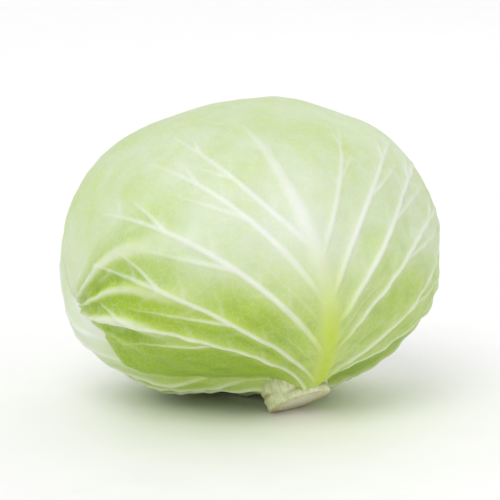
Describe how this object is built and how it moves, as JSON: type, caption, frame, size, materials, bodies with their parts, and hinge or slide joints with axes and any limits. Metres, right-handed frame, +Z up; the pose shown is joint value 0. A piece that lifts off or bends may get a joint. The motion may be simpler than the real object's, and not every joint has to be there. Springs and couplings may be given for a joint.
{
  "type": "cabbage head",
  "caption": "Flat-round cabbage head, as picked: broad pale green veined leaves wrapped round a cut stalk, with smaller leaves and a bud inside, resting tilted on its shoulder.",
  "frame": {"origin": "on the surface that the head rests on, under the middle of its bounding box", "axes": "+Z up from the surface; the stalk's axis is tilted 30 degrees from +Z, with its cut end pointing down and 50 degrees from +X towards -Y, and the crown is up and away from there"},
  "size_m": [0.178, 0.176, 0.1449],
  "materials": {
    "wrapper_leaf": "waxy pale green leaf, satin, paler along raised veins and more yellow-green near the stalk, thin enough to let light through",
    "inner_leaf": "moist cream to pale yellow-green young leaf, satin",
    "stalk": "fibrous greenish white stalk, matt, drier and a little brown on the cut"
  },
  "bodies": {
    "root": {"wrapper_leaf_1": "wrapper_leaf", "wrapper_leaf_2": "wrapper_leaf", "wrapper_leaf_3": "wrapper_leaf", "wrapper_leaf_4": "wrapper_leaf", "wrapper_leaf_5": "wrapper_leaf", "wrapper_leaf_6": "wrapper_leaf", "wrapper_leaf_7": "wrapper_leaf", "wrapper_leaf_8": "wrapper_leaf", "inner_leaf_01": "inner_leaf", "inner_leaf_02": "inner_leaf", "inner_leaf_03": "inner_leaf", "inner_leaf_04": "inner_leaf", "inner_leaf_05": "inner_leaf", "inner_leaf_06": "inner_leaf", "inner_leaf_07": "inner_leaf", "inner_leaf_08": "inner_leaf", "cut_stalk": "stalk", "terminal_bud": "inner_leaf"}
  },
  "joints": []
}
